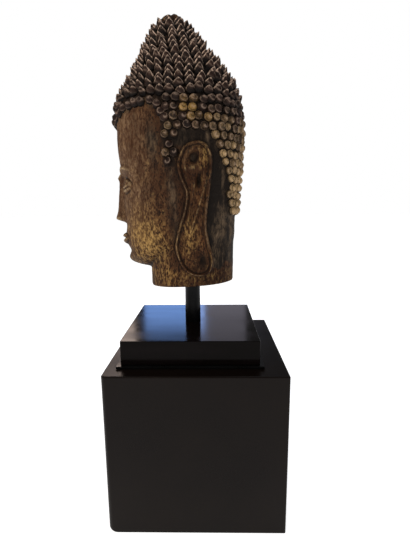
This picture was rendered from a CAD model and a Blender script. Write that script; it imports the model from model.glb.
"""Dressed model of a carved stone buddha head on its post, base block, plate and plinth, in a plain studio.

Metres, +Z up, origin at the middle of the plinth's underside. The face looks along -Y.
"""

import logging
import math
from dataclasses import dataclass
from enum import Enum
from typing import Any

import bpy
import numpy as np
from mathutils import Matrix, Vector


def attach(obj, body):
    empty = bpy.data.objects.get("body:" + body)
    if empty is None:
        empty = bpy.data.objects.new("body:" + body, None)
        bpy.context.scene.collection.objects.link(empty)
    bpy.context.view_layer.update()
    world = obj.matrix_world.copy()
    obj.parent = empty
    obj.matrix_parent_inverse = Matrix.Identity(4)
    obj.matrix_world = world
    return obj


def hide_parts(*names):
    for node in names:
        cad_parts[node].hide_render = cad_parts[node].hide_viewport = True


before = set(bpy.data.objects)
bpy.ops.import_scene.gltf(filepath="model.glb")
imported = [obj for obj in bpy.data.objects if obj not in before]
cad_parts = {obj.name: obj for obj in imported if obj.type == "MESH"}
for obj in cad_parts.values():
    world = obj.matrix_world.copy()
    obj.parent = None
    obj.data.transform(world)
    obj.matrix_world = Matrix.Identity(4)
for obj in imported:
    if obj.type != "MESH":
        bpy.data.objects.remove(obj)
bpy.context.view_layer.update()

LOG = logging.getLogger("buddha_head")
SHARP_ANGLE = math.radians(40)
Array = np.ndarray
Piece = bpy.types.Object
Socket = bpy.types.NodeSocket

# The stand's sizes, the same as the solids'.
PLINTH_SIDE = 0.4064
PLINTH_HEIGHT = 0.3825
PLATE_SIDE = 0.3305
PLATE_THICKNESS = 0.0056
BLOCK_SIDE = 0.3125
BLOCK_HEIGHT = 0.0555
POST_FOOT_RADIUS = 0.0200
POST_TOP_RADIUS = 0.0185
POST_CLEARANCE = 0.0006
BORE_RADIUS = POST_FOOT_RADIUS + POST_CLEARANCE
SEAT_GAP = 0.0003
MIN_ROUND = 0.0002
AXIS_Y = -0.0125
HEAD_HEIGHT = 0.6229
HEAD_ABOVE_BLOCK = 0.104
SOCKET_DEPTH = 0.075
PLATE_BOTTOM = PLINTH_HEIGHT + SEAT_GAP
PLATE_TOP = PLATE_BOTTOM + PLATE_THICKNESS
BLOCK_BOTTOM = PLATE_TOP + SEAT_GAP
BLOCK_TOP = BLOCK_BOTTOM + BLOCK_HEIGHT
HEAD_BASE = BLOCK_TOP + HEAD_ABOVE_BLOCK


class Side(Enum):
    """The side of the head that an ear is on, by the sign of X."""

    LEFT = 1
    RIGHT = -1


# ---- helpers


def linear(code: str) -> tuple[float, float, float, float]:
    """Linear colour with alpha 1 of an sRGB hex code such as #8a6a35."""
    parts = [int(code[i : i + 2], 16) / 255 for i in (1, 3, 5)]
    return (*[c / 12.92 if c <= 0.04045 else ((c + 0.055) / 1.055) ** 2.4 for c in parts], 1.0)


def add_node(
    tree: bpy.types.NodeTree, kind: str, sockets: dict[Any, Any], output: Any = 0, **options: Any
) -> Socket:
    """Adds a node with its settings and links.

    Args:
        tree: The node tree.
        kind: The node's type name without ShaderNode.
        sockets: Input names or numbers, each with a value or with the output that feeds it.
        output: Name or number of the output to hand back.
        **options: Properties of the node and their values.

    Returns:
        The output socket.
    """
    node = tree.nodes.new("ShaderNode" + kind)
    for name, value in options.items():
        setattr(node, name, value)
    for key, value in sockets.items():
        if isinstance(value, Socket):
            tree.links.new(value, node.inputs[key])
        else:
            node.inputs[key].default_value = value
    return node.outputs[output]


def ease(x: Array, low: float, high: float) -> Array:
    """Smooth step from 0 at low to 1 at high: 3t^2 - 2t^3 of the clipped share t."""
    t = np.clip((x - low) / (high - low), 0, 1)
    return t * t * (3 - 2 * t)


def bump(x: Array, z: Array, centre: tuple[float, float], radii: tuple[float, float]) -> Array:
    """Gaussian swelling round a centre with two radii."""
    return np.exp(-(((x - centre[0]) / radii[0]) ** 2) - ((z - centre[1]) / radii[1]) ** 2)


def bumps(x: Array, z: Array, marks: Any) -> Array:
    """Sum of Gaussian swellings, each given by its height, centre and radii."""
    return sum(height * bump(x, z, centre, radii) for height, centre, radii in marks)


def bell(gap: Array, width: float) -> Array:
    """Bell curve of a gap: 1 at none, 1/e at the width."""
    return np.exp(-((gap / width) ** 2))


def smooth_curve(stations: Any, at: Array) -> Array:
    """Cubic curve through stations, held flat beyond its ends.

    Args:
        stations: Rows of a place and one or more values there.
        at: Places to read.

    Returns:
        Hermite cubic values with central-difference slopes, one row of values a place.
    """
    rows = np.array(stations, float)
    x, y = rows[:, 0], rows[:, 1:]
    slope = np.gradient(y, x, axis=0)
    at = np.clip(at, x[0], x[-1])
    i = np.clip(np.searchsorted(x, at) - 1, 0, len(x) - 2)
    step = x[i + 1] - x[i]
    t = ((at - x[i]) / step)[..., None]
    step = step[..., None]
    rise = (1 + 2 * t) * (1 - t) ** 2 * y[i] + t**2 * (3 - 2 * t) * y[i + 1]
    return rise + step * (t * (1 - t) ** 2 * slope[i] - t**2 * (1 - t) * slope[i + 1])


def spread(low: float, high: float, count: int, crowding: Any) -> Array:
    """Places from low to high whose spacing is inverse to the function crowding."""
    fine = np.linspace(low, high, 4000)
    total = np.concatenate([[0], np.cumsum((crowding(fine[1:]) + crowding(fine[:-1])) / 2)])
    return np.interp(np.linspace(0, total[-1], count), total, fine)


def ripple(points: Array, size: float, seed: int) -> Array:
    """Uneven relief of a given size over points in space.

    Args:
        points: Points, with x, y and z last.
        size: Length of a wave.
        seed: Seed of the scatter.

    Returns:
        The mean of eight sine waves in random directions, with lengths near the size, about -1 to 1.
    """
    waves, gain = 8, 1.6
    rng = np.random.default_rng(seed)
    ways = rng.normal(size=(waves, 3))
    ways /= np.linalg.norm(ways, axis=1, keepdims=True)
    turns = rng.uniform(0.6, 1.5, waves) * 2 * math.pi / size
    phases = rng.uniform(0, 2 * math.pi, waves)
    return np.sin(points @ (ways * turns[:, None]).T + phases).mean(-1) * gain


def outline_distance(points: Array, edge: Array) -> Array:
    """Distance from each point to the nearest side of a closed outline.

    Args:
        points: Rows by columns by two.
        edge: The outline's corners in order.

    Returns:
        The shortest gap to the sides, each point projected onto a side and held between the side's ends.
    """
    side = np.roll(edge, -1, 0) - edge
    gap = points[:, :, None] - edge
    share = np.clip(np.einsum("ijkl,kl->ijk", gap, side) / np.einsum("kl,kl->k", side, side), 0, 1)
    return np.linalg.norm(gap - share[..., None] * side, axis=-1).min(-1)


def turned_rows(profile: Any, sides: int, centre_y: float = 0.0) -> Array:
    """Rows of points of a profile of radii and heights turned about an upright axis."""
    turn = np.arange(sides) / sides * 2 * math.pi
    rings = [[r * np.cos(turn), centre_y + r * np.sin(turn), np.full_like(turn, z)] for r, z in profile]
    return np.moveaxis(np.array(rings), 1, -1)


def store(mesh: bpy.types.Mesh, label: str, values: Array) -> None:
    """Writes four values a point as a named point attribute."""
    flat = values.astype(np.float32).ravel()
    mesh.attributes.new(label, "FLOAT_COLOR", "POINT").data.foreach_set("color", flat)


def linked(name: str, mesh: bpy.types.Mesh) -> Piece:
    """Smooth-shaded object of a mesh, at the origin and in the scene."""
    mesh.shade_smooth()
    made = bpy.data.objects.new(name, mesh)
    bpy.context.scene.collection.objects.link(made)
    return made


def lattice_object(
    name: str, rows: Array, torus: bool = False, poles: bool = True, colours: dict[str, Array] | None = None
) -> Piece:
    """Closed skin over a lattice of points whose columns close on themselves.

    Each lattice cell is one quad. The rows join up as a torus, or the first and last close in a fan round
    their own middle point, or in one flat face. The winding is turned over if the signed volume comes out
    negative.

    Args:
        name: The object's name.
        rows: Points, as rows by columns by three.
        torus: True to join the last row to the first.
        poles: True to close the end rows with fans, False with single faces.
        colours: Values for named point attributes, as rows by columns by three.

    Returns:
        The object, smooth shaded, at the origin.
    """
    m, n = rows.shape[:2]
    points = rows.reshape(-1, 3)
    last = m if torus else m - 1
    i, j = np.meshgrid(np.arange(last), np.arange(n), indexing="ij")
    up, right = (i + 1) % m, (j + 1) % n
    quads = np.stack([i * n + j, i * n + right, up * n + right, up * n + j], -1).reshape(-1, 4)
    faces = quads.tolist()
    turn = np.arange(n)
    if not torus and poles:
        points = np.concatenate([points, [rows[0].mean(0)], [rows[-1].mean(0)]])
        faces += np.stack([np.full(n, m * n), (turn + 1) % n, turn], -1).tolist()
        top = (m - 1) * n
        faces += np.stack([np.full(n, m * n + 1), top + turn, top + (turn + 1) % n], -1).tolist()
    elif not torus:
        faces += [turn[::-1].tolist(), ((m - 1) * n + turn).tolist()]
    a, b, c, d = (points[quads[:, k]] for k in range(4))
    volume = np.einsum("ij,ij->i", a, np.cross(b, c) + np.cross(c, d)).sum()
    if volume < 0:
        faces = [face[::-1] for face in faces]
    mesh = bpy.data.meshes.new(name)
    mesh.from_pydata(points.tolist(), [], faces)
    for label, values in (colours or {}).items():
        flat = np.ones((len(points), 4))
        flat[: m * n, :3] = values.reshape(-1, 3)
        if len(points) > m * n:
            flat[m * n, :3] = values[0].mean(0)
            flat[m * n + 1, :3] = values[-1].mean(0)
        store(mesh, label, flat)
    return linked(name, mesh)


# ---- finishes


@dataclass
class Graph:
    """Short ways to add the nodes that the finishes use most."""

    tree: bpy.types.NodeTree

    def add(self, kind: str, sockets: dict[Any, Any], output: Any = 0, **options: Any) -> Any:
        """Adds any node, as add_node does."""
        return add_node(self.tree, kind, sockets, output, **options)

    def math(self, operation: str, *values: Any) -> Socket:
        """Adds a Math node on numbers or outputs."""
        return self.add("Math", dict(enumerate(values)), operation=operation)

    def span(self, value: Any, low: float, high: float, to_low: float = 0.0, to_high: float = 1.0) -> Any:
        """Adds a clamped Map Range from low and high to two new ends."""
        ends = {"Value": value, "From Min": low, "From Max": high, "To Min": to_low, "To Max": to_high}
        return self.add("MapRange", ends)

    def mix(self, share: Any, below: Any, above: Any) -> Socket:
        """Adds a colour mix. Each colour is an output or a hex code."""
        colours = [linear(c) if isinstance(c, str) else c for c in (below, above)]
        return self.add("Mix", {0: share, 6: colours[0], 7: colours[1]}, 2, data_type="RGBA")

    def place(self, stretch: tuple | None = None) -> Socket:
        """Adds the Object coordinates, or a stretched copy of them."""
        place = self.add("TexCoord", {}, "Object")
        return self.add("Mapping", {"Vector": place, "Scale": stretch}) if stretch else place

    def noise(self, place: Any, size_mm: float, detail: float, **more: float) -> Socket:
        """Adds noise with spots of a real size: a cell of the noise holds one light and one dark spot."""
        scale = 1000.0 / (2 * size_mm)
        return self.add("TexNoise", {"Vector": place, "Scale": scale, "Detail": detail, **more})

    def parts(self, colour: Any) -> Any:
        """Adds a split of a colour into its three values."""
        return self.add("SeparateColor", {0: colour}).node.outputs

    def attribute(self, label: str) -> Socket:
        """Adds a reader of a point attribute."""
        return self.add("Attribute", {}, "Color", attribute_name=label)


@dataclass(frozen=True)
class Finish:
    """A named finish that keeps its noise sizes in real millimetres."""

    name: str

    def start(self) -> tuple[bpy.types.Material, Graph, bpy.types.NodeInputs]:
        """Makes the material and hands back its graph and its shader's sockets."""
        material = bpy.data.materials.new(self.name)
        material.use_nodes = True
        return material, Graph(material.node_tree), material.node_tree.nodes["Principled BSDF"].inputs


@dataclass(frozen=True)
class GildedStone(Finish):
    """Carved sandstone under brown lacquer and rubbed gilding.

    Gilding over lacquer wears off the open faces in specks and runs, so the eye sees dull gold broken up by
    dark brown, a red undercoat round each patch, grey-brown where hands and damp took the gold, and soot in
    the recesses.
    """

    name: str = "gilded_sandstone"
    gold: str = "#a5824a"
    gold_deep: str = "#6c4b25"
    lacquer: str = "#5a3f27"
    lacquer_dark: str = "#2b1a0e"
    pit: str = "#130a05"
    undercoat: str = "#4c2a13"
    bare: str = "#8a6e54"
    bare_dark: str = "#59422b"
    soot: str = "#18120d"
    soot_pale: str = "#64523f"
    grime: str = "#120b06"
    worn_edge: str = "#a8906c"
    patch_mm: float = 30.0
    run_mm: float = 9.0
    fleck_mm: float = 3.4
    speck_mm: float = 1.9
    grain_mm: float = 1.1
    hang: tuple = (1.0, 1.0, 0.22)
    upright: tuple = (1.0, 1.0, 0.50)
    fleck_loss: float = 0.50
    speck_loss: float = 0.48
    specular: float = 0.12
    flake_depth: float = 0.0022
    grain_depth: float = 0.0006

    def make(self) -> bpy.types.Material:
        """Builds the material.

        Returns:
            The material. It reads the point attributes zones (gilding, soot, bare) and wear (hollow, edge,
            scalp).
        """
        material, graph, shader = self.start()
        math_, span, mix = graph.math, graph.span, graph.mix
        link = material.node_tree.links.new
        gilding, sooted, bared = graph.parts(graph.attribute("zones"))
        hollow, proud, scalp = graph.parts(graph.attribute("wear"))

        # Patches as wide as two fingers, runs that hang down, upright flakes of lost gold, pitting and grain.
        patch = graph.noise(graph.place(), self.patch_mm, 5.0, Roughness=0.6)
        runs = graph.noise(graph.place(self.hang), self.run_mm, 6.0, Roughness=0.62)
        standing = graph.place(self.upright)
        fleck = graph.noise(standing, self.fleck_mm, 6.0, Roughness=0.68, Distortion=0.25)
        speck = graph.noise(standing, self.speck_mm, 3.0)
        grain = graph.noise(graph.place(), self.grain_mm, 3.0)

        # Brown lacquer, darker in patches and runs, with the red undercoat showing through in patches.
        tone = span(math_("MULTIPLY_ADD", runs, 0.8, patch), 0.70, 1.10)
        colour = mix(tone, self.lacquer_dark, self.lacquer)
        colour = mix(span(patch, 0.52, 0.66, 0.0, 0.55), colour, self.undercoat)

        # Stone that has lost its gold altogether, in runs.
        part = math_("MULTIPLY", span(runs, 0.30, 0.62), bared)
        colour = mix(part, colour, mix(fleck, self.bare_dark, self.bare))

        # Rubbed gold: a thin film that gathers with the zone, in patches and runs.
        film = math_("MULTIPLY_ADD", runs, 0.7, math_("MULTIPLY_ADD", gilding, 1.1, patch))
        leaf = mix(span(speck, 0.34, 0.64), self.gold_deep, self.gold)
        colour = mix(span(film, 1.00, 1.95, 0.0, 0.85), colour, leaf)

        # Whole flakes of gold where zone and flake noise together pass a level.
        gilded = span(math_("MULTIPLY_ADD", gilding, 0.34, fleck), 0.62, 0.86, 0.0, 0.62)
        colour = mix(gilded, colour, self.gold)

        # Lost flakes, in two sizes, show the red undercoat at their edge and dark lacquer within.
        # Rubbed stone has few of them.
        left = span(bared, 0.0, 1.0, 1.0, 0.40)
        for noise, level in ((fleck, self.fleck_loss), (speck, self.speck_loss)):
            colour = mix(span(noise, level + 0.05, level - 0.02, 0.0, 0.40), colour, self.undercoat)
            lost = span(noise, level, level - 0.11, 0.0, 0.90)
            colour = mix(math_("MULTIPLY", lost, left), colour, self.pit)

        # Soot, streaked downwards with paler dust.
        streak = math_("MULTIPLY", span(runs, 0.46, 0.64), span(fleck, 0.36, 0.62))
        part = span(math_("MULTIPLY_ADD", patch, 0.8, sooted), 0.62, 1.0, 0.0, 0.95)
        colour = mix(part, colour, mix(streak, self.soot, self.soot_pale))

        # Grime in hollows and under the hair, pale rubbed edges.
        colour = mix(math_("MULTIPLY", math_("MAXIMUM", hollow, scalp), 0.85), colour, self.grime)
        part = math_("MULTIPLY", span(fleck, 0.35, 0.65, 0.0, 0.85), proud)
        link(mix(part, colour, self.worn_edge), shader["Base Color"])
        link(span(gilded, 0.0, 1.0, 0.70, 0.50), shader["Roughness"])
        shader["Specular IOR Level"].default_value = self.specular

        # Flaked edges and pits about a millimetre deep, and the grain of the stone.
        relief = math_("MULTIPLY_ADD", runs, 0.8, math_("MULTIPLY_ADD", speck, 0.5, fleck))
        coarse = graph.add("Bump", {"Height": relief, "Strength": 0.8, "Distance": self.flake_depth})
        fine = {"Height": grain, "Strength": 0.6, "Distance": self.grain_depth, "Normal": coarse}
        link(graph.add("Bump", fine), shader["Normal"])
        return material


@dataclass(frozen=True)
class CurlStone(Finish):
    """The same lacquered stone on the curls, where handling has rubbed only the rims and tips.

    The eye sees dark brown buds, each with a coiled line and a pale rim, and here and there one that has kept
    its gold or has gone dusty.
    """

    name: str = "lacquered_curls"
    body: str = "#34231b"
    body_dark: str = "#180e09"
    gap: str = "#0b0705"
    rim: str = "#c9ac96"
    gold: str = "#8f6f3c"
    dusty: str = "#a4875f"
    fleck_mm: float = 4.0
    grain_mm: float = 1.3
    coils: float = 1.7
    roughness: float = 0.6
    specular: float = 0.12
    coil_depth: float = 0.0020
    grain_depth: float = 0.0004

    def make(self) -> bpy.types.Material:
        """Builds the material.

        Returns:
            The material. It reads the point attributes bud (across, over, along, pointed) and tint (gold,
            dusty, shade, turn of the coil).
        """
        material, graph, shader = self.start()
        math_, span, mix = graph.math, graph.span, graph.mix
        link = material.node_tree.links.new
        bud, tint = graph.attribute("bud"), graph.attribute("tint")
        pointed, spin = bud.node.outputs["Alpha"], tint.node.outputs["Alpha"]
        across, over, along = graph.parts(bud)
        golden, dusty, shade = graph.parts(tint)
        fleck = graph.noise(graph.place(), self.fleck_mm, 5.0, Roughness=0.65)
        grain = graph.noise(graph.place(), self.grain_mm, 3.0)

        # The coil: whole turns of angle plus height, with a groove where the sum passes a whole number.
        turn = math_("MULTIPLY_ADD", math_("ARCTAN2", over, across), 1 / (2 * math.pi), spin)
        turn = math_("MULTIPLY_ADD", along, self.coils, turn)
        coil = math_("MULTIPLY", math_("PINGPONG", turn, 0.5), 2.0)
        started = span(along, 0.22, 0.40)
        groove = math_("MULTIPLY", span(coil, 0.30, 0.08), started)
        crest = math_("MULTIPLY", span(coil, 0.62, 0.92), started)

        # The rim of a pointed bud: the two edges between its outer and inner face, and the tip.
        wide = math_("MAXIMUM", math_("ABSOLUTE", across), 0.02)
        slant = math_("DIVIDE", math_("ABSOLUTE", over), wide)
        rim = math_("MAXIMUM", span(slant, 0.42, 0.16), span(along, 0.86, 0.96))
        rim = math_("MULTIPLY", math_("MULTIPLY", rim, span(along, 0.30, 0.55)), pointed)
        faint = math_("MULTIPLY", crest, span(pointed, 0.0, 1.0, 0.26, 0.12))
        rim = math_("MAXIMUM", rim, faint)

        # Body colour, kept gold and dust, rubbed rims, and the dark of the grooves and between the buds.
        body = math_("MULTIPLY_ADD", shade, 0.6, fleck)
        colour = mix(span(body, 0.40, 1.10), self.body_dark, self.body)
        for share, code in ((golden, self.gold), (dusty, self.dusty)):
            colour = mix(span(math_("MULTIPLY", share, fleck), 0.10, 0.50), colour, code)
        colour = mix(math_("MULTIPLY", span(fleck, 0.28, 0.52), rim), colour, self.rim)
        colour = mix(math_("MULTIPLY", groove, 0.65), colour, self.gap)
        link(mix(span(along, 0.62, 0.26, 0.0, 0.97), colour, self.gap), shader["Base Color"])
        shader["Roughness"].default_value = self.roughness
        shader["Specular IOR Level"].default_value = self.specular
        carved = math_("MULTIPLY_ADD", coil, 0.8, fleck)
        cut = graph.add("Bump", {"Height": carved, "Strength": 0.8, "Distance": self.coil_depth})
        fine = {"Height": grain, "Strength": 0.5, "Distance": self.grain_depth, "Normal": cut}
        link(graph.add("Bump", fine), shader["Normal"])
        return material


@dataclass(frozen=True)
class DarkFinish(Finish):
    """Black lacquer, ebonised wood or painted steel.

    A dark coat shows mostly by its gloss: a soft broken reflection, a faint brown or neutral body colour,
    thin dust, and specks of grit under the coat.
    """

    body: str
    dust: str
    roughness: float
    specular: float
    dust_share: float
    cloud_mm: float
    relief_mm: float
    stretch: tuple = (1.0, 1.0, 1.0)
    grit_mm: float = 2.4

    def make(self) -> bpy.types.Material:
        """Builds the material.

        Returns:
            The material, on Object coordinates.
        """
        material, graph, shader = self.start()
        link = material.node_tree.links.new
        cloud = graph.noise(graph.place(self.stretch), self.cloud_mm, 5.0)
        grit = graph.noise(graph.place(), self.grit_mm, 2.0)
        laid = graph.math("MULTIPLY_ADD", graph.span(grit, 0.62, 0.76), 0.6, graph.span(cloud, 0.35, 0.75))
        laid = graph.math("MULTIPLY", laid, self.dust_share)
        link(graph.mix(laid, self.body, self.dust), shader["Base Color"])
        gloss = graph.span(cloud, 0.3, 0.7, 0.70 * self.roughness, 1.35 * self.roughness)
        link(gloss, shader["Roughness"])
        shader["Specular IOR Level"].default_value = self.specular
        skin = graph.add("Bump", {"Height": grit, "Strength": 0.35, "Distance": self.relief_mm / 1000})
        link(skin, shader["Normal"])
        return material


@dataclass(frozen=True)
class FloorPaint(Finish):
    """Matt white studio floor: chalky, faintly cloudy, with a glow that carries it white to the edge."""

    name: str = "matt_white_floor"
    pale: str = "#f8f8f8"
    shade: str = "#f4f4f3"
    cloud_mm: float = 300.0
    roughness: float = 0.9
    specular: float = 0.05
    glow: float = 0.77

    def make(self) -> bpy.types.Material:
        """Builds the material, on Object coordinates."""
        material, graph, shader = self.start()
        cloud = graph.noise(graph.place(), self.cloud_mm, 3.0)
        material.node_tree.links.new(graph.mix(cloud, self.shade, self.pale), shader["Base Color"])
        shader["Roughness"].default_value = self.roughness
        shader["Specular IOR Level"].default_value = self.specular
        shader["Emission Color"].default_value = linear(self.pale)
        shader["Emission Strength"].default_value = self.glow
        return material


# ---- the head


@dataclass
class CarvedHead:
    """The bare head: skin, neck, scalp and the broken top.

    All sizes but the ripples' depth are shares of the head's height. The skull's rows hold height, front,
    back and half width. The hair edge's rows hold degrees from the middle of the face and height. Marks hold
    strength, centre and radii in degrees and height.
    """

    skull: tuple = (
        (0.05, 0.225, 0.165, 0.138), (0.10, 0.240, 0.165, 0.147), (0.16, 0.246, 0.166, 0.159),
        (0.24, 0.252, 0.170, 0.171), (0.33, 0.257, 0.178, 0.181), (0.43, 0.268, 0.186, 0.187),
        (0.52, 0.278, 0.191, 0.188), (0.61, 0.277, 0.192, 0.186), (0.66, 0.273, 0.183, 0.179),
        (0.75, 0.219, 0.148, 0.152), (0.845, 0.169, 0.069, 0.110), (0.92, 0.131, 0.010, 0.075),
        (0.985, 0.101, -0.018, 0.046),
    )
    spine: tuple = (
        (0.0, 0.0), (0.10, 0.020), (0.30, 0.030), (0.60, 0.035), (0.76, 0.038), (0.86, 0.048), (0.93, 0.060),
        (1.0, 0.060),
    )
    hair_edge: tuple = (
        (0, 0.604), (12, 0.607), (21, 0.617), (30, 0.637), (40, 0.648), (56, 0.650), (68, 0.640), (73, 0.610),
        (74.5, 0.440), (86.6, 0.440), (88, 0.515), (96, 0.562), (107, 0.574), (118, 0.562), (127, 0.526),
        (143, 0.394), (151, 0.272), (180, 0.272),
    )
    section_power: float = 2.15
    crown_top: float = 0.960
    crown_round: float = 0.028
    neck: tuple = (0.163, 0.165, 0.145)
    neck_power: float = 2.4
    neck_cut_slope: float = math.tan(math.radians(3.0))
    chin_base: float = 0.060
    jaw_rise: float = 0.062
    chin_round: float = 0.052
    jaw_round: float = 0.090
    chin_power: float = 2.6
    neck_blend: float = 0.012
    hairline: float = 0.613
    face_half: float = 0.187
    eye_drop: float = 0.046
    nose_depth: tuple = (0.019, 0.025)
    wing_depth: float = 0.020
    socket_depth: float = 0.019
    lid_depth: float = 0.018
    brow_depth: float = 0.0075
    lip_half: float = 0.056
    lip_depth: float = 0.0130
    mark_radius: float = 0.0085
    scalp_step: float = 0.003
    skin_columns: int = 431
    skin_rows: int = 196
    skin_top: float = 0.938
    top_height: float = 0.986
    stub: tuple = (
        (0.046, 0.943), (0.046, 0.962), (0.041, 0.975), (0.031, 0.980), (0.016, 0.972), (0.004, 0.967),
    )
    stub_rows: int = 16
    ripple_depth: float = 0.0006
    gilt_marks: tuple = (
        (0.9, (46, 0.17), (24, 0.085)), (0.20, (48, 0.34), (24, 0.14)), (0.08, (60, 0.50), (14, 0.10)),
    )
    soot_marks: tuple = (
        (1.3, (100, 0.548), (20, 0.036)), (0.55, (82, 0.34), (10, 0.20)), (0.50, (62, 0.52), (9, 0.12)),
    )
    dirt_marks: tuple = ((0.9, (98, 0.548), (17, 0.026)), (0.6, (112, 0.40), (6, 0.22)))

    @property
    def third(self) -> float:
        """A third of the face, from hairline to chin."""
        return (self.hairline - self.chin_base) / 3

    @property
    def brow(self) -> float:
        """Height of the brow."""
        return self.chin_base + 2 * self.third

    @property
    def nose_base(self) -> float:
        """Height of the nose's base."""
        return self.chin_base + self.third

    @property
    def mouth(self) -> float:
        """Height of the line between the lips."""
        return self.nose_base - self.third / 3

    @property
    def eye_level(self) -> float:
        """Height of the middle of the eyes."""
        return self.brow - self.eye_drop

    @property
    def eye_place(self) -> float:
        """Distance of an eye's middle from the head's middle, a fifth of the face's width."""
        return 2 * self.face_half / 5

    def nose_relief(self, x: Array, z: Array) -> Array:
        """Carves the nose.

        Args:
            x: Distance from the middle of the face.
            z: Height above the neck cut.

        Returns:
            A ridge that deepens from the brow to the tip with a bell-shaped section, plus a tip, two wings
            with a crease beside each, and nostrils.
        """
        wide, base = np.abs(x), self.nose_base
        down = np.clip((self.brow - z) / (self.brow - base - 0.016), 0, 1.1)
        root, gain = self.nose_depth
        ridge = (root + gain * down**1.25) * ease(z, self.brow + 0.030, self.brow - 0.030)
        shape = ridge * np.exp(-np.abs(x / (0.0135 + 0.012 * down)) ** 1.8)
        shape = shape + 0.004 * bump(x, z, (0, base + 0.017), (0.019, 0.016))
        shape = shape + self.wing_depth * bump(wide, z, (0.0265, base + 0.014), (0.0120, 0.015))
        shape = shape - 0.003 * bump(wide, z, (0.040, base + 0.016), (0.005, 0.018))
        nostril = bump(wide, z, (0.014, base + 0.002), (0.008, 0.006))
        return shape * ease(z, base - 0.008, base + 0.014) - 0.012 * nostril

    def eye_relief(self, x: Array, z: Array) -> Array:
        """Carves the eyes and brows.

        Args:
            x: Distance from the middle of the face.
            z: Height above the neck cut.

        Returns:
            Sockets and lowered lids as shallow ovals, a parting line with a lip, a crease over the lid, and
            brows arched as parabolas with a thin upper edge.
        """
        x, level = np.abs(x), self.eye_level
        aside = x - self.eye_place
        line = level - 0.011 + 3.2 * aside**2 + 0.05 * aside
        socket = self.socket_depth * bump(x, z, (0.062, level + 0.010), (0.046, 0.032))
        size = (aside / 0.047) ** 2 + ((z - level) / 0.027) ** 2
        lids = self.lid_depth * np.sqrt(np.clip(1 - size, 0, 1))
        parting = 0.0022 * bell(z - line - 0.0052, 0.003) - 0.0045 * bell(z - line, 0.0022)
        parting = parting * ease(np.abs(aside), 0.049, 0.040)
        crease = 0.0030 * bell(np.sqrt(size) - 1.06, 0.07) * ease(z, level - 0.004, level + 0.008)
        arch = z - (self.brow + 0.017 - 5.0 * (x - 0.078) ** 2)
        brow = self.brow_depth * bell(arch, 0.0085) * ease(x, 0.150, 0.100)
        edge = 0.0018 * bell(arch - 0.008, 0.0022) * ease(x, 0.140, 0.100)
        return lids - socket + parting - crease + brow + edge

    def mouth_relief(self, x: Array, z: Array) -> Array:
        """Carves the closed lips.

        Args:
            x: Distance from the middle of the face.
            z: Height above the neck cut.

        Returns:
            Full lips as two half-sine rolls under a bowed outline, corners up, with the hollows round them.
        """
        share = x / self.lip_half
        line = self.mouth + 0.006 * share**2 - 0.0016 * np.cos(share * math.pi)
        part = np.sqrt(np.clip(1 - share**2, 0, 1))
        bow = 1 + 0.16 * np.cos(x / 0.0065)
        upper = np.clip((z - line) / (0.0215 * part * bow + 1e-4), 0, 1)
        lower = np.clip((line - z) / (0.0265 * part + 1e-4), 0, 1)
        lips = self.lip_depth * (np.sin(math.pi * upper) + np.sin(math.pi * lower)) * ease(part, 0.0, 0.5)
        lips = lips + 0.0007 * (bell(upper - 0.97, 0.05) + bell(lower - 0.97, 0.05)) * ease(part, 0.1, 0.5)
        corner = bump(np.abs(x), z, (self.lip_half + 0.003, self.mouth + 0.006), (0.008, 0.010))
        marks = (
            (0.015, (0, self.mouth), (0.055, 0.040)),
            (-0.0045, (0, (self.nose_base + self.mouth) / 2 + 0.004), (0.007, 0.018)),
            (-0.008, (0, self.mouth - 0.046), (0.050, 0.014)),
        )
        return lips + bumps(x, z, marks) - 0.0045 * corner

    def relief(self, x: Array, z: Array) -> Array:
        """Everything carved forward of the plain oval of the face, with the round mark between the brows."""
        chin = 0.013 * bump(x, z, (0, self.chin_base + 0.034), (0.045, 0.030))
        cheeks = 0.006 * bump(np.abs(x), z, (0.085, self.nose_base + 0.01), (0.050, 0.065))
        out = (x**2 + (z - self.brow - 0.020) ** 2) / self.mark_radius**2
        mark = 0.006 * np.sqrt(np.clip(1 - out, 0, 1))
        return self.nose_relief(x, z) + self.eye_relief(x, z) + self.mouth_relief(x, z) + chin + cheeks + mark

    def surface(self, angle: Array, height: Array, carved: bool = True) -> Array:
        """Points of the bare head in shares of its height.

        A section is an oval with unequal front and back reaches, |cos|^p and |sin|^p joined to the power
        -1/p. It closes under the jaw as a superellipse, is lifted by the relief near the front, and blends
        with a round neck by a smooth maximum.

        Args:
            angle: Angle from the middle of the face.
            height: Height above the neck cut.
            carved: False for the plain oval.

        Returns:
            Points as (x, y, z).
        """
        front, back, half = np.moveaxis(smooth_curve(self.skull, height), -1, 0)
        spine = smooth_curve(self.spine, height)[..., 0]
        reach = self.oval(angle, front - spine, back + spine, half, self.section_power)
        side = np.sin(np.clip(np.abs(angle), 0, math.pi / 2)) ** 2
        jaw_round = self.chin_round + (self.jaw_round - self.chin_round) * side
        below = np.clip((self.chin_base + self.jaw_rise * side + jaw_round - height) / jaw_round, 0, 1)
        closing = (1 - below**self.chin_power) ** (1 / self.chin_power)
        above = np.clip((height - self.crown_top + self.crown_round) / self.crown_round, 0, 1)
        closing = closing * np.sqrt(1 - above**2)
        reach = reach * closing
        if carved:
            near = ease(np.cos(angle), 0.10, 0.40) * ease(closing, 0.5, 0.95)
            reach = reach + self.relief(reach * np.sin(angle), height) * near * np.cos(angle)
        neck_front, neck_back, neck_half = self.neck
        neck_reach = self.oval(angle, neck_front - spine, neck_back + spine, neck_half, self.neck_power)
        neck_reach = neck_reach * ease(height, 0.55, 0.20)
        gap = reach - neck_reach
        soft = self.neck_blend * ease(height, 0.40, 0.10)
        reach = 0.5 * (reach + neck_reach + np.sqrt(gap**2 + soft**2))
        forward = spine + reach * np.cos(angle)
        cut = self.neck_cut_slope * (neck_front - forward)
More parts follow.
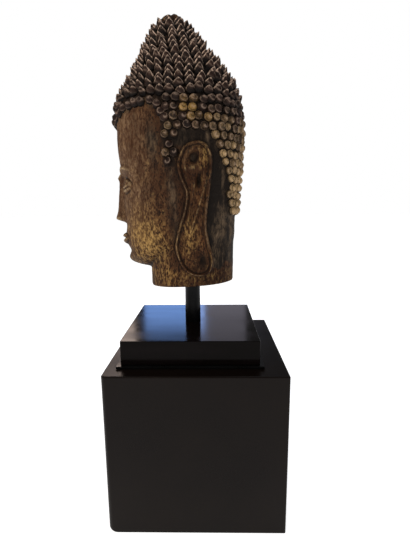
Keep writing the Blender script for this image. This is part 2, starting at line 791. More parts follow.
        return np.stack([reach * np.sin(angle), -forward, height + cut * ease(height, 0.06, 0.0)], -1)

    @staticmethod
    def oval(angle: Array, front: Array, back: Array, half: Array, power: float) -> Array:
        """Distance from the axis to an oval: (|cos/along|^p + |sin/half|^p)^(-1/p)."""
        cos, sin = np.abs(np.cos(angle)), np.abs(np.sin(angle))
        along = np.where(np.cos(angle) > 0, front, back)
        return ((cos / along) ** power + (sin / half) ** power) ** (-1 / power)

    def normals(self, angle: Array, height: Array) -> Array:
        """Unit normals of the plain head, from the cross product of its two central differences."""
        small = 1e-3
        across = self.surface(angle + small, height, False) - self.surface(angle - small, height, False)
        upward = self.surface(angle, height + small, False) - self.surface(angle, height - small, False)
        normal = np.cross(across, upward)
        return normal / np.linalg.norm(normal, axis=-1, keepdims=True)

    def edge_height(self, angle: Array) -> Array:
        """Lowest height of the hair at an angle."""
        table = np.array(self.hair_edge, float)
        return np.interp(np.degrees(np.abs(angle)), table[:, 0], table[:, 1])

    @staticmethod
    def placed(points: Array) -> Array:
        """Shares of the head's height to metres in the part's frame."""
        return points * HEAD_HEIGHT + np.array([0.0, AXIS_Y, HEAD_BASE])

    def zones(self, angle: Array, height: Array) -> Array:
        """Weights of gilding, soot and bare stone over the skin.

        Args:
            angle: Angle from the middle of the face.
            height: Height above the neck cut.

        Returns:
            The three weights, as smooth bands in angle and height.
        """
        turn = np.degrees(np.abs(angle))
        collar = 0.30 * ease(height, 0.080, 0.060)
        front = 0.10 * ease(turn, 40, 20)
        gilding = np.clip(bumps(turn, height, self.gilt_marks) + collar + front, 0, 1)
        wander = 0.014 * np.sin(turn / 9.0) + 0.008 * np.sin(turn / 3.1 + 1.0)
        soot = ease(turn, 98, 108) * ease(height + wander, 0.072, 0.096)
        soot = np.clip(soot + bumps(turn, height, self.soot_marks), 0, 1)
        bare = ease(turn, 68, 36) * ease(height, 0.06, 0.22) * ease(height, 0.640, 0.620)
        return np.stack([gilding, soot, bare], -1)

    def skin(self, ear_edge: Array) -> Piece:
        """Builds the skin as one lattice, from the post's socket round the neck cut up to the broken top.

        Args:
            ear_edge: The ear's closed outline, round which dirt has gathered.

        Returns:
            The object, with its zones and wear attributes.
        """
        columns = spread(-math.pi, math.pi, self.skin_columns, lambda a: 1.0 + 1.7 * bell(a, 0.8))[:-1]
        rows = spread(
            0.004, self.skin_top, self.skin_rows,
            lambda h: 0.32 + ease(h, 0.63, 0.59) * (0.4 + 0.6 * ease(h, 0.06, 0.08)),
        )
        angle, height = np.meshgrid(columns, rows)
        plain = self.surface(angle, height)
        haired = self.blurred((height > self.edge_height(angle)).astype(float), 3)
        points = self.placed(plain + (self.scalp_step * haired)[..., None] * self.normals(angle, height))
        rough = ripple(points, 0.055, 3) + 0.5 * ripple(points, 0.02, 4)
        push = points - points.mean(1, keepdims=True)
        push[..., 2] = 0
        push /= np.linalg.norm(push, axis=-1, keepdims=True)
        points = points + (self.ripple_depth * rough)[..., None] * push
        hollow, proud = self.curvature(points)
        hollow = np.clip(hollow + bumps(np.degrees(np.abs(angle)), height, self.dirt_marks), 0, 1)
        beside = (np.abs(np.cos(angle)) < 0.6) & (height < 0.57)
        gap = outline_distance(plain[beside][None, :, 1:], ear_edge)[0]
        hollow[beside] = np.clip(hollow[beside] + 0.9 * bell(gap, 0.009), 0, 1)
        wear = np.stack([hollow, proud * (1 - haired), haired], -1)
        zones = self.zones(angle, height)

        lower, upper = self.socket(columns, points[0]), self.broken_top(columns)
        top_zones = np.broadcast_to([0.30, 0.35, 0.0], upper.shape)
        top_hollow = 0.7 * ease(ripple(upper, 0.012, 15), 0.0, -0.5)
        top_wear = np.stack([top_hollow, np.zeros_like(top_hollow), np.zeros_like(top_hollow)], -1)
        zones = np.concatenate([np.repeat(zones[:1], len(lower), 0), zones, top_zones])
        wear = np.concatenate([np.repeat(wear[:1], len(lower), 0), wear, top_wear])
        lattice = np.concatenate([lower, points, upper])
        return lattice_object("head_skin", lattice, colours={"zones": zones, "wear": wear})

    def cut_height(self, y: Array) -> Array:
        """Height of the sloping neck cut along Y: the base plus the slope times the way behind the front."""
        return HEAD_BASE + self.neck_cut_slope * (self.neck[0] * HEAD_HEIGHT + y - AXIS_Y)

    def socket(self, angles: Array, rim: Array) -> Array:
        """Builds the rows of the post's socket and the flat neck cut round it.

        Circles of the bore run from its closed top down to the cut. Rings between the bore and the neck's rim
        follow, each a share of the way from one to the other.

        Args:
            angles: Angles of the columns.
            rim: The neck's lowest ring.

        Returns:
            Rows of points.
        """
        axis = np.array([0.0, AXIS_Y])
        bore = axis + BORE_RADIUS * np.stack([np.sin(angles), -np.cos(angles)], -1)
        roof = np.full(len(angles), HEAD_BASE + SOCKET_DEPTH)
        rows = [
            np.column_stack([axis + 0.02 * (bore - axis), roof]),
            np.column_stack([bore, roof]),
            np.column_stack([bore, self.cut_height(bore[:, 1]) + 0.001]),
        ]
        for share in (0.0, 0.35, 0.7, 0.94, 0.99):
            ring = bore + (rim[:, :2] - bore) * share
            rows.append(np.column_stack([ring, self.cut_height(ring[:, 1])]))
        return np.array(rows)

    def broken_top(self, angles: Array) -> Array:
        """Builds the rows of the rough stub where the top of the crown has broken away.

        The stub's radius and height follow its profile, and both are roughened by ripples of one to three
        centimetres.

        Args:
            angles: Angles of the columns.

        Returns:
            Rows of points.
        """
        along = np.linspace(0, len(self.stub) - 1, self.stub_rows)
        profile = smooth_curve([(i, *p) for i, p in enumerate(self.stub)], along)
        middle = smooth_curve(self.spine, np.array(self.crown_top))[0]
        radius, height = profile[:, :1], np.broadcast_to(profile[:, 1:], (self.stub_rows, len(angles)))
        plain = np.stack([radius * np.sin(angles), -middle - radius * np.cos(angles), height], -1)
        rough = 0.004 * ripple(plain, 0.045, 13) + 0.003 * ripple(plain, 0.018, 14)
        radius = radius * (1 + 14.0 * rough)
        height = np.minimum(height + rough, self.top_height)
        return self.placed(np.stack([radius * np.sin(angles), -middle - radius * np.cos(angles), height], -1))

    @staticmethod
    def blurred(values: Array, times: int) -> Array:
        """Mean of each lattice value and its neighbours, several times over. Columns wrap, rows don't."""
        for _ in range(times):
            padded = np.concatenate([values[:1], values, values[-1:]])
            beside = padded[:-2] + padded[2:] + np.roll(values, 1, 1) + np.roll(values, -1, 1)
            values = (2 * values + beside) / 6
        return values

    @classmethod
    def curvature(cls, points: Array) -> tuple[Array, Array]:
        """How hollow and how proud each lattice point lies.

        The measure is the step from a point to the mean of those round it, along the outward normal.

        Args:
            points: Lattice of points, columns closed.

        Returns:
            Hollow and edge, each from 0 to 1.
        """
        across = np.roll(points, -1, 1) - np.roll(points, 1, 1)
        padded = np.concatenate([points[:1], points, points[-1:]])
        normal = np.cross(across, padded[2:] - padded[:-2])
        normal /= np.linalg.norm(normal, axis=-1, keepdims=True) + 1e-12
        mean = np.stack([cls.blurred(points[..., k], 5) for k in range(3)], -1)
        step = np.einsum("ijk,ijk->ij", mean - points, normal)
        step = cls.blurred(step, 1)
        return ease(step, 0.00008, 0.0007), ease(-step, 0.00012, 0.0007)


@dataclass
class LongEar:
    """A long ear with a rim, its hollows and a heavy lobe.

    Sizes are shares of the head's height. Hollows hold lift, centre and radii: the shell, the canal, the
    shelf over it, the swelling above the lobe, the lobe's hollow and its slit. Folds hold lift, place and
    slope of a slanting line, its width, and the heights where it starts and ends.
    """

    side: Side
    outline: tuple = (
        (0.027, 0.524), (0.062, 0.513), (0.081, 0.478), (0.082, 0.430), (0.074, 0.360), (0.065, 0.290),
        (0.062, 0.230), (0.074, 0.165), (0.086, 0.110), (0.072, 0.068), (0.032, 0.053), (-0.010, 0.068),
        (-0.040, 0.110), (-0.052, 0.165), (-0.040, 0.225), (-0.018, 0.290), (-0.010, 0.350), (-0.028, 0.400),
        (-0.038, 0.450), (-0.016, 0.505),
    )
    centre_line: tuple = ((0.053, 0.020), (0.16, 0.018), (0.29, 0.024), (0.40, 0.024), (0.524, 0.024))
    hollows: tuple = (
        (-0.018, (0.020, 0.470), (0.016, 0.020)), (-0.014, (0.036, 0.395), (0.012, 0.026)),
        (0.0050, (0.006, 0.435), (0.020, 0.014)), (0.006, (0.000, 0.175), (0.026, 0.060)),
        (-0.012, (0.048, 0.110), (0.016, 0.032)), (-0.007, (0.018, 0.082), (0.020, 0.012)),
    )
    folds: tuple = (
        (0.0095, 0.034, 0.32, 0.0075, (0.17, 0.24), (0.44, 0.36)),
        (0.0070, 0.006, 0.20, 0.0060, (0.20, 0.26), (0.46, 0.38)),
    )
    gilt_marks: tuple = ((0.50, (0.000, 0.190), (0.030, 0.075)), (0.55, (0.055, 0.47), (0.018, 0.050)))
    root: float = 0.118
    root_sunk: float = 0.03
    face: float = 0.187
    flare: float = 0.12
    middle_height: float = 0.29
    edge_depth: float = 0.010
    rim_depth: float = 0.008
    around: int = 240
    across: int = 44
    ripple_depth: float = 0.0006

    def edge(self) -> Array:
        """Closed outline as points (back, height), a cubic curve through the stations."""
        closed = self.outline + self.outline[:3]
        turn = np.linspace(1, 1 + len(self.outline), self.around + 1)[:-1]
        return smooth_curve([(i, *p) for i, p in enumerate(closed)], turn)

    def lift(self, back: Array, height: Array, inset: Array) -> Array:
        """Height of the carving over the ear's plane.

        Args:
            back: Distance behind the head's axis.
            height: Height above the neck cut.
            inset: Distance in from the outline.

        Returns:
            A rounded rim that drops to the inner ear, a fold along its upper half, the hollows and the
            slanting folds.
        """
        lift = self.edge_depth * (ease(inset, 0.0, 0.0055) - 1)
        lift = lift - self.rim_depth * ease(inset, 0.0065, 0.0135)
        lift = lift + 0.0060 * bell(inset - 0.027, 0.0070) * ease(height, 0.36, 0.42)
        lift = lift + bumps(back, height, self.hollows)
        for depth, start, slope, width, foot, top in self.folds:
            line = bell(back - start - slope * (height - 0.30), width)
            lift = lift + depth * line * ease(height, *foot) * ease(height, *top)
        return lift

    def build(self, head: CarvedHead) -> Piece:
        """Builds the ear as nested rings of its outline, from the root out to the rim and in to its middle.

        Args:
            head: The head whose place and scale the ear takes.

        Returns:
            The object, with its zones and wear attributes.
        """
        edge = self.edge()
        level = self.middle_height + (edge[:, 1] - self.middle_height) * 0.80
        middle = np.stack([smooth_curve(self.centre_line, level)[:, 0], level], -1)
        inward = 1 - np.linspace(0.0, 0.9985, self.across) ** 1.25
        shares = np.concatenate([[0.94, 0.97, 0.99, 1.0, 1.0], inward])
        plane = middle + (edge - middle) * shares[:, None, None]
        back, height = plane[..., 0], plane[..., 1]
        faced = shares[:, None] < 1
        inset = outline_distance(plane, edge) * faced
        lift = self.lift(back, height, inset)
        out = self.face + self.flare * (back - 0.01) + 0.018 * ease(height, 0.16, 0.40) + lift
        for k, share in enumerate((1.0, 0.72, 0.42, 0.16)):
            out[k] = out[4] + (self.root - self.root_sunk - out[4]) * share
        points = head.placed(np.stack([self.side.value * out, back, height], -1))
        rough = ripple(points, 0.045, 8) + 0.5 * ripple(points, 0.016, 9)
        points[..., 0] += self.side.value * self.ripple_depth * rough

        sunken, raised = head.curvature(HEAD_HEIGHT * np.stack([-out, back, height], -1))
        none = np.zeros_like(out)
        gold = np.clip(0.06 + bumps(back, height, self.gilt_marks) + 0.6 * raised * faced, 0, 1)
        soot = 0.25 * ease(height, 0.30, 0.45) + 0.5 * (1 - faced)
        deep = 0.95 * ease(-lift, 0.009, 0.019) + 0.75 * bell(inset - 0.0128, 0.0034)
        hollow = np.clip((deep + 1.2 * sunken) * faced, 0, 1)
        rim = np.clip(bell(inset - 0.0046, 0.0020) * ease(ripple(points, 0.05, 16), -0.45, 0.55), 0, 1)
        proud = np.clip((0.6 * rim + 0.45 * raised * (inset > 0.014)) * faced, 0, 1)
        colours = {"zones": np.stack([gold, soot, none], -1), "wear": np.stack([hollow, proud, none], -1)}
        return lattice_object(f"ear_{self.side.name.lower()}", points, poles=False, colours=colours)


@dataclass
class TightCurls:
    """Hair of small curls: low knobs with a coiled end, and pointed buds that lean up from there to the top.

    Lengths are shares of the head's height, radii shares of the distance from curl to curl, leans rises along
    the normal, and scatters shares of what they scatter.
    """

    pitch: float = 0.0300
    bud_pitch: float = 0.0345
    row_pitch: float = 0.0290
    crown_row_share: float = 0.86
    hairline_to: float = 73.0
    hairline_lift: float = 0.010
    hairline_room: float = 0.60
    first_row: float = 0.286
    last_row: float = 0.950
    knob_length: float = 0.019
    bud_length: float = 0.034
    top_shorter: float = 0.20
    knob_radius: float = 0.56
    bud_radius: float = 0.56
    knob_lean: float = 0.20
    bud_lean: float = 1.10
    buds_from: float = 0.62
    buds_full: float = 0.74
    top_buds: int = 9
    sunk: float = 0.006
    place_scatter: float = 0.07
    way_scatter: tuple = (0.07, 0.06)
    side_scatter: float = 0.12
    mean_radius: float = 0.2
    coils: float = 1.7
    coil_relief: float = 0.05
    rings: int = 7
    sides: int = 8
    seed: int = 21

    def rows(self, head: CarvedHead) -> list[tuple[float, int]]:
        """Rows of curls from the nape up.

        Args:
            head: The head that the curls stand on.

        Returns:
            The height and number of curls of each row. Rows are spaced along the mean of the front and back
            profile, closer together on the crown.
        """
        fine = np.linspace(self.first_row, self.last_row, 4000)
        behind = head.surface(np.full_like(fine, math.pi), fine, False)
        before = head.surface(np.zeros_like(fine), fine, False)
        step = sum(np.linalg.norm(np.diff(side, axis=0), axis=1) for side in (behind, before))
        closer = 1 - (1 - self.crown_row_share) * ease(fine[1:], self.buds_from, self.buds_full)
        along = np.concatenate([[0], np.cumsum(step / 2 / closer)])
        heights = np.interp(np.arange(0, along[-1], self.row_pitch), along, fine)
        girths = [self.girth(head, height)[1][-1] for height in heights]
        counts = np.round(np.array(girths) / self.spacing(heights)).astype(int)
        return list(zip(heights, np.maximum(counts, self.top_buds)))

    def spacing(self, height: Array) -> Array:
        """Distance from curl to curl along a row, wider among the buds than among the knobs."""
        return self.pitch + (self.bud_pitch - self.pitch) * ease(height, self.buds_from, self.buds_full)

    @staticmethod
    def girth(head: CarvedHead, height: float) -> tuple[Array, Array]:
        """Angles round a ring of the head and the length of the ring up to each."""
        turn = np.linspace(-math.pi, math.pi, 721)
        ring = head.surface(turn, np.full_like(turn, height), False)
        return turn, np.concatenate([[0], np.cumsum(np.linalg.norm(np.diff(ring, axis=0), axis=1))])

    def stations(self, head: CarvedHead) -> tuple[Array, Array]:
        """Angle and height of each curl.

        One row follows the hairline over the forehead. The others lie level, every second one half a curl on,
        and keep clear of it.

        Args:
            head: The head that the curls stand on.

        Returns:
            The angles and the heights.
        """
        fine = np.radians(np.linspace(-self.hairline_to, self.hairline_to, 1441))
        edge = head.edge_height(fine) + self.hairline_lift
        step = np.linalg.norm(np.diff(head.surface(fine, edge, False), axis=0), axis=1)
        along = np.concatenate([[0], np.cumsum(step)])
        hairline = np.interp(np.linspace(0, along[-1], round(along[-1] / self.pitch) + 1), along, fine)
        angles, heights = [hairline], [head.edge_height(hairline) + self.hairline_lift]
        clear = self.hairline_lift + self.hairline_room * self.row_pitch
        for k, (height, count) in enumerate(self.rows(head)):
            turn, along = self.girth(head, height)
            places = (np.arange(count) + 0.5 * (k % 2)) / count * along[-1]
            angle = np.interp(places, along, turn)
            room = (np.degrees(np.abs(angle)) < self.hairline_to) * clear
            stands = height > head.edge_height(angle) + room
            angles.append(angle[stands])
            heights.append(np.full(int(stands.sum()), height))
        return np.concatenate(angles), np.concatenate(heights)

    def build(self, head: CarvedHead) -> Piece:
        """Builds all curls as one mesh of small closed buds.

        A bud is rings of points along its own axis. A knob's radius follows a dome, a bud's falls along a
        power curve to a blunt point, and a bud's section is drawn out sideways to two edges.

        Args:
            head: The head that the curls stand on.

        Returns:
            The object, with its bud and tint attributes.
        """
        rng = np.random.default_rng(self.seed)
        angle, height = self.stations(head)
        count = len(angle)
        grown = ease(height, self.buds_from, self.buds_full)
        pitch = self.spacing(height)
        loose = self.place_scatter * (1 + grown)
        angle = angle + rng.normal(0, 1, count) * loose * pitch / self.mean_radius
        height = height + rng.normal(0, 1, count) * loose * self.row_pitch
        base, normal = head.surface(angle, height, False), head.normals(angle, height)
        length = self.knob_length + (self.bud_length - self.knob_length) * grown
        length = length * rng.uniform(0.84, 1.08, count) * (1 - self.top_shorter * ease(height, 0.90, 0.945))
        lean = self.knob_lean + (self.bud_lean - self.knob_lean) * grown
        upward = np.array([0.0, 0.0, 1.0])
        astray = self.way_scatter[0] + self.way_scatter[1] * grown
        way = normal + lean[:, None] * upward + rng.normal(0, 1, (count, 3)) * astray[:, None]
        way /= np.linalg.norm(way, axis=1, keepdims=True)
        side = np.cross(upward, normal) + rng.normal(0, self.side_scatter, (count, 3))
        side -= way * np.einsum("ij,ij->i", side, way)[:, None]
        side /= np.linalg.norm(side, axis=1, keepdims=True)
        over = np.cross(way, side)

        rings = np.linspace(0, 1, self.rings) ** 0.85
        along, turn = np.meshgrid(rings, np.arange(self.sides) / self.sides * 2 * math.pi, indexing="ij")
        pointed = grown[:, None, None]
        knob = self.knob_radius * (1 - 0.985 * along**2.6) ** 0.5
        bud = self.bud_radius * (1 - 0.95 * along**1.75)
        radius = (knob * (1 - pointed) + bud * pointed) * rng.uniform(0.90, 1.08, count)[:, None, None]
        spin = rng.uniform(0, 1, count)
        wave = np.cos(2 * math.pi * (self.coils * along + spin[:, None, None]) + turn)
        radius = radius * (1 + self.coil_relief * wave * ease(along, 0.2, 0.45))
        across = radius * np.cos(turn) * (1 + 0.16 * pointed * np.abs(np.cos(turn)) ** 3)
        outward = radius * np.sin(turn) * (1 - 0.24 * pointed)
        out = (length + self.sunk)[:, None, None] * along - self.sunk
        scaled = ((out, way), (across * pitch[:, None, None], side), (outward * pitch[:, None, None], over))
        points = base[:, None, None] + sum(reach[..., None] * axis[:, None, None] for reach, axis in scaled)
        foot = base - self.sunk * way
        tip = base + (1.01 * length)[:, None] * way
        points = np.concatenate([points.reshape(count, -1, 3), foot[:, None], tip[:, None]], 1)
        points[..., 2] = np.minimum(points[..., 2], head.top_height)
        mesh = bpy.data.meshes.new("head_curls")
        mesh.from_pydata(head.placed(points).reshape(-1, 3).tolist(), [], self.faces(count))

        ends = np.broadcast_to([(0.0, 0.0, 0.0), (0.0, 0.0, 1.0)], (count, 2, 3))
        rise = np.broadcast_to(along, across.shape)
        shape = np.stack([across / self.bud_radius, outward / self.bud_radius, rise], -1)
        shape = np.concatenate([shape.reshape(count, -1, 3), ends], 1)
        tint = self.tints(angle, height, rng)[:, None].repeat(shape.shape[1], 1)
        for label, values, shared in (("bud", shape, grown), ("tint", tint, spin)):
            shared = np.broadcast_to(shared[:, None, None], (*values.shape[:2], 1))
            store(mesh, label, np.concatenate([values, shared], -1))
        return linked("head_curls", mesh)

    def faces(self, count: int) -> list[list[int]]:
        """Faces of all curls: quads between rings, and fans round the foot and tip at the end of each run."""
        m, n = self.rings, self.sides
        i, j = np.meshgrid(np.arange(m - 1), np.arange(n), indexing="ij")
        right = (j + 1) % n
        quads = np.stack([i * n + j, i * n + right, (i + 1) * n + right, (i + 1) * n + j], -1).reshape(-1, 4)
        turn = np.arange(n)
        after = (turn + 1) % n
        low = np.stack([np.full(n, m * n), after, turn], -1)
        high = np.stack([np.full(n, m * n + 1), (m - 1) * n + turn, (m - 1) * n + after], -1)
        shift = (np.arange(count) * (m * n + 2))[:, None, None]
        faces = (quads[None] + shift).reshape(-1, 4).tolist()
        return faces + (np.concatenate([low, high])[None] + shift).reshape(-1, 3).tolist()

    @staticmethod
    def tints(angle: Array, height: Array, rng: np.random.Generator) -> Array:
        """How golden, dusty and pale each curl is.

        Args:
            angle: Angle of each curl.
            height: Height of each curl.
            rng: The source of the scatter.

        Returns:
            One row of three shares a curl: gold in a cluster over the ear, dust down the back, shade at
            random.
        """
        count = len(angle)
        turn = np.degrees(np.abs(angle))
        golden = (rng.uniform(0, 1, count) < 0.75) * bump(turn, height, (101, 0.628), (14, 0.034))
        golden = golden + 0.6 * (rng.uniform(0, 1, count) < 0.03) * ease(height, 0.70, 0.64)
        least = 0.60 - 0.48 * ease(height, 0.34, 0.52)
        share = least + (1 - least) * rng.uniform(0, 1, count)
        dusty = ease(turn, 112, 134) * ease(height, 0.69, 0.46) * share
        faint = (0.32 + 0.12 * ease(turn, 95, 85)) * ease(height, 0.68, 0.60)
        dusty = dusty + faint * rng.uniform(0, 1, count)
        return np.stack([golden, np.clip(dusty, 0, 1), rng.uniform(0, 1, count)], -1)


# ---- the stand


@dataclass
class RoundedBlock:
    """A square block with rounded upright corners and eased edges. Sizes in metres."""

    name: str
    side: float
    bottom: float
    top: float
    centre_y: float = 0.0
    front_round: float = 0.0008
    rear_round: float = 0.0008
    ease: float = 0.0008
    foot_round: float = 0.0
    bore: float = 0.0
    arc: int = 8
    foot_arc: int = 10
    edge_arc: int = 4
    flank: float = 0.0015
    bore_ease: float = 0.0006

    def outline(self, inset: float, front_in: float) -> Array:
        """Closed plan outline of the block.

        Args:
            inset: How far the outline is drawn in.
            front_in: How far its front alone is drawn in, for the rounded foot.

        Returns:
            Points of four quarter circles joined by straight sides, with a point just off each end of an arc.
        """
        half = self.side / 2 - inset
        front = -self.side / 2 + max(inset, front_in)
        rear, fore = self.rear_round, self.front_round
        points = []
        for k, (sx, sy, radius) in enumerate(((1, 1, rear), (-1, 1, rear), (-1, -1, fore), (1, -1, fore))):
            r = max(radius - inset, MIN_ROUND)
            centre = np.array([sx * (half - r), half - r if sy > 0 else front + r])
            turn = np.linspace(k * math.pi / 2, (k + 1) * math.pi / 2, self.arc + 1)
            arc = centre + r * np.stack([np.cos(turn), np.sin(turn)], -1)
            before = arc[0] + self.flank * np.array([math.sin(turn[0]), -math.cos(turn[0])])
            after = arc[-1] + self.flank * np.array([-math.sin(turn[-1]), math.cos(turn[-1])])
            points.append(np.concatenate([[before], arc, [after]]))
        return np.concatenate(points) + np.array([0.0, self.centre_y])

    def build(self) -> Piece:
        """Builds the block as rows of its outline from the underside up, with quarter-circle edges.

        Returns:
            The object. A bore joins its top and underside as one closed ring of rows.
        """
        eased, top = self.ease, self.top
        turns = self.quarter(self.edge_arc)
        quarter = [(eased * (1 - math.cos(t)), eased * (1 - math.sin(t))) for t in turns]
        if self.foot_round:
            r = self.foot_round
            foot = self.quarter(self.foot_arc)
            levels = [(self.bottom + r * (1 - math.cos(t)), 0.0, r * (1 - math.sin(t))) for t in foot]
        else:
            levels = [(self.bottom, eased + self.flank, 0.0)]
            levels += [(self.bottom + rise, inset, 0.0) for rise, inset in quarter]
        levels += [(levels[-1][0] + self.flank, 0.0, 0.0), (top - eased - self.flank, 0.0, 0.0)]
        levels += [(top - inset, rise, 0.0) for rise, inset in quarter] + [(top, eased + self.flank, 0.0)]
        rings = [(self.outline(inset, front_in), height) for height, inset, front_in in levels]
        if self.bore:
            toward = rings[0][0] - np.array([0.0, self.centre_y])
            circle = toward / np.linalg.norm(toward, axis=1, keepdims=True)
            mouth, lip = self.bore + 5 * self.bore_ease, self.bore + self.bore_ease
            high, low = top - self.bore_ease, self.bottom + self.bore_ease
            bore = ((mouth, top), (lip, top), (self.bore, high))
            bore += ((self.bore, low), (lip, self.bottom), (mouth, self.bottom))
            rings += [(circle * radius + np.array([0.0, self.centre_y]), height) for radius, height in bore]
        rows = np.array([np.column_stack([ring, np.full(len(ring), height)]) for ring, height in rings])
        return lattice_object(self.name, rows, torus=bool(self.bore), poles=False)

    @staticmethod
    def quarter(steps: int) -> Array:
        """Angles of a quarter turn in equal steps."""
        return np.linspace(0, math.pi / 2, steps + 1)


@dataclass
class RoundPost:
    """The round bar from the foot plate up into the head's socket. Sizes in metres."""

    sides: int = 96
    ease: float = 0.0006

    def build(self) -> Piece:
        """Builds the post: a straight taper turned about the stand's axis, with eased ends."""
        bottom = PLATE_TOP + SEAT_GAP
        top = HEAD_BASE + SOCKET_DEPTH - SEAT_GAP
        foot, head, e = POST_FOOT_RADIUS, POST_TOP_RADIUS, self.ease
        profile = [
            (foot - 2 * e, bottom), (foot - e, bottom), (foot, bottom + e), (foot, bottom + 3 * e),
            (head, top - 3 * e), (head, top - e), (head - e, top), (head - 2 * e, top),
        ]
        return lattice_object("steel_post", turned_rows(profile, self.sides, AXIS_Y), poles=False)


@dataclass
class Stand:
    """Plinth, foot plate, base block and post with their finishes."""

    def build(self) -> list[tuple[Piece, str, str, DarkFinish]]:
        """Builds the stand's pieces.

        Returns:
            Each piece with the node that it replaces, its slot and its finish.
        """
        plinth = RoundedBlock(
            "lacquered_plinth", PLINTH_SIDE, 0.0, PLINTH_HEIGHT,
            front_round=0.011, rear_round=0.004, ease=0.0030, foot_round=0.011, arc=10,
        )
        plate = RoundedBlock(
            "steel_foot_plate", PLATE_SIDE, PLATE_BOTTOM, PLATE_TOP, AXIS_Y,
            front_round=0.001, rear_round=0.001, ease=0.0005,
        )
        block = RoundedBlock(
            "ebonised_block", BLOCK_SIDE, BLOCK_BOTTOM, BLOCK_TOP, AXIS_Y,
            front_round=0.0014, rear_round=0.0014, ease=0.0010, bore=BORE_RADIUS,
        )
        # Sprayed lacquer on board: brown-black, satin, a little orange peel and thin dust.
        lacquer = DarkFinish(
            "sprayed_black_lacquer", body="#0e0806", dust="#34291f", roughness=0.32, specular=0.095,
            dust_share=0.10, cloud_mm=90.0, relief_mm=0.05,
        )
        # Ebonised and polished wood: nearly black with a clear gloss, in faint streaks along Y.
        ebony = DarkFinish(
            "ebonised_wood", body="#080504", dust="#30262a", roughness=0.14, specular=0.048,
            dust_share=0.09, cloud_mm=16.0, relief_mm=0.03, stretch=(1.0, 0.16, 1.0),
        )
        # Painted mild steel: black, satin, faintly rough.
        steel = DarkFinish(
            "painted_mild_steel", body="#060606", dust="#2b2b2c", roughness=0.30, specular=0.12,
            dust_share=0.06, cloud_mm=30.0, relief_mm=0.05,
        )
        return [
            (plinth.build(), "plinth", "black_lacquer", lacquer),
            (plate.build(), "foot_plate", "black_steel", steel),
            (block.build(), "base_block", "ebonised_wood", ebony),
            (RoundPost().build(), "post", "black_steel", steel),
        ]


# ---- the studio


@dataclass(frozen=True)
class SoftBox:
    """A rectangular soft light that the camera doesn't see. Lengths in metres, power in watts."""

    name: str
    place: tuple
    aim: tuple
    power: float
    size: tuple
    colour: str

    def hang(self) -> None:
        """Adds the light and turns it to its aim."""
        data = bpy.data.lights.new(self.name, "AREA")
        data.energy = self.power
        data.shape = "RECTANGLE"
        data.size, data.size_y = self.size
        data.color = linear(self.colour)[:3]
        made = bpy.data.objects.new(self.name, data)
        made.location = self.place
        made.rotation_euler = (Vector(self.aim) - Vector(self.place)).to_track_quat("-Z", "Y").to_euler()
        made.visible_camera = False
        bpy.context.scene.collection.objects.link(made)


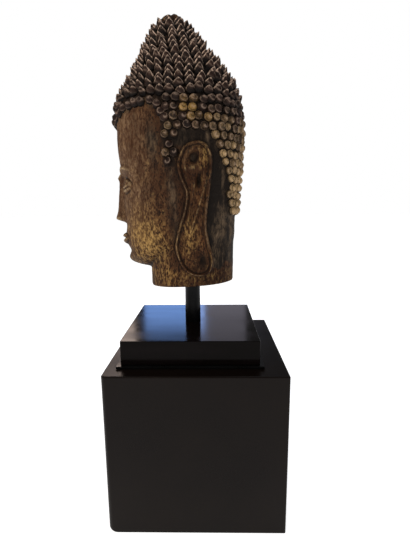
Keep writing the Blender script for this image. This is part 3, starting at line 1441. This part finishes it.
@dataclass
class Studio:
    """Pale floor, soft lights, and the camera at the photograph's angle."""

    camera_place: tuple = (0.9543, 0.0363, 0.7426)
    pitch: float = math.radians(10.2012)
    yaw: float = math.radians(-0.9979)
    roll: float = math.radians(-0.4728)
    focal_px: float = 379.16
    frame_px: tuple = (410, 545)
    sensor_mm: float = 36.0
    floor_radius: float = 30.0
    floor_inner: float = 2.0
    floor_top: float = -0.0005
    floor_bottom: float = -0.01
    floor_sides: int = 96
    diffuse_glow: float = 0.36
    mirrored_glow: float = 0.12
    boxes: tuple = (
        SoftBox("key_box", (1.6, -1.5, 2.2), (0.0, 0.0, 0.8), 26.0, (1.3, 1.3), "#fff6ea"),
        SoftBox("fill_box", (2.0, 1.4, 1.1), (0.0, 0.0, 0.7), 5.0, (1.6, 1.6), "#eef4ff"),
        SoftBox("top_box", (-0.5, 0.1, 2.9), (0.0, 0.0, 0.8), 14.0, (1.8, 1.8), "#f2f6ff"),
        SoftBox("window_box", (-2.1, -0.27, 1.02), (0.0, 0.0, 0.45), 3.5, (0.50, 0.36), "#7facf8"),
        SoftBox("wall_box", (-2.1, -0.95, 1.45), (0.0, -0.1, 0.4), 7.0, (0.70, 0.60), "#ffe6d8"),
        SoftBox("sky_box", (-2.1, 0.10, 1.12), (0.0, 0.0, 0.5), 1.35, (0.44, 0.6), "#c4bfd0"),
    )

    def camera(self) -> None:
        """Places the camera: it looks along -X, picture's right along +Y, then dipped, turned and rolled."""
        data = bpy.data.cameras.new("photo_camera")
        data.sensor_width = self.sensor_mm
        data.lens = self.focal_px * self.sensor_mm / max(self.frame_px)
        data.clip_end = 2 * self.floor_radius
        level, dip = math.cos(self.pitch), math.sin(self.pitch)
        right = Vector((math.sin(self.yaw), math.cos(self.yaw), 0.0))
        forward = Vector((-level * math.cos(self.yaw), level * math.sin(self.yaw), -dip))
        up = right.cross(forward)
        turned_right = math.cos(self.roll) * right + math.sin(self.roll) * up
        turned_up = math.cos(self.roll) * up - math.sin(self.roll) * right
        turned = Matrix((turned_right, turned_up, -forward)).transposed().to_4x4()
        made = bpy.data.objects.new("photo_camera", data)
        made.matrix_world = Matrix.Translation(self.camera_place) @ turned
        bpy.context.scene.collection.objects.link(made)
        bpy.context.scene.camera = made

    def floor(self) -> None:
        """Builds the floor: a thin wide disc of matt white paint."""
        rim, top = self.floor_radius, self.floor_top
        profile = ((rim, self.floor_bottom), (rim, top), (self.floor_inner, top))
        made = lattice_object("studio_floor", turned_rows(profile, self.floor_sides))
        made.data.materials.append(FloorPaint().make())

    def lights(self) -> None:
        """Hangs the soft boxes and sets the surroundings: white behind, dimmer where they light or mirror."""
        world = bpy.data.worlds.new("pale_studio")
        bpy.context.scene.world = world
        world.use_nodes = True
        add = Graph(world.node_tree).add
        ground = world.node_tree.nodes["Background"]
        path = add("LightPath", {}).node.outputs
        lighting = add("Mix", {0: path["Is Glossy Ray"], 2: self.diffuse_glow, 3: self.mirrored_glow})
        strength = add("Mix", {0: path["Is Camera Ray"], 2: lighting, 3: 1.0})
        ground.inputs["Color"].default_value = (1.0, 1.0, 1.0, 1.0)
        world.node_tree.links.new(strength, ground.inputs["Strength"])
        for box in self.boxes:
            box.hang()
        bpy.context.scene.view_settings.view_transform = "Standard"


def dress(piece: Piece, node: str, material: bpy.types.Material) -> None:
    """Gives a piece its material, body, node and slot, and reports it."""
    piece.data.materials.append(material)
    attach(piece, "root")
    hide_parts(node)
    LOG.info("%s for %s in %s: %d faces", piece.name, node, material.name, len(piece.data.polygons))


def main() -> None:
    """Builds the studio, the stand and the head."""
    logging.basicConfig(level=logging.INFO, format="%(name)s: %(message)s")
    studio = Studio()
    studio.camera()
    studio.floor()
    studio.lights()
    materials: dict[str, bpy.types.Material] = {}
    for piece, node, slot, finish in Stand().build():
        if finish.name not in materials:
            materials[finish.name] = finish.make()
        piece.data.set_sharp_from_angle(angle=SHARP_ANGLE)
        dress(piece, node, materials[finish.name])
    head = CarvedHead()
    stone = GildedStone().make()
    dress(head.skin(LongEar(Side.LEFT).edge()), "head", stone)
    for side in Side:
        dress(LongEar(side).build(head), "head", stone)
    dress(TightCurls().build(head), "head", CurlStone().make())


if __name__ == "__main__":
    main()
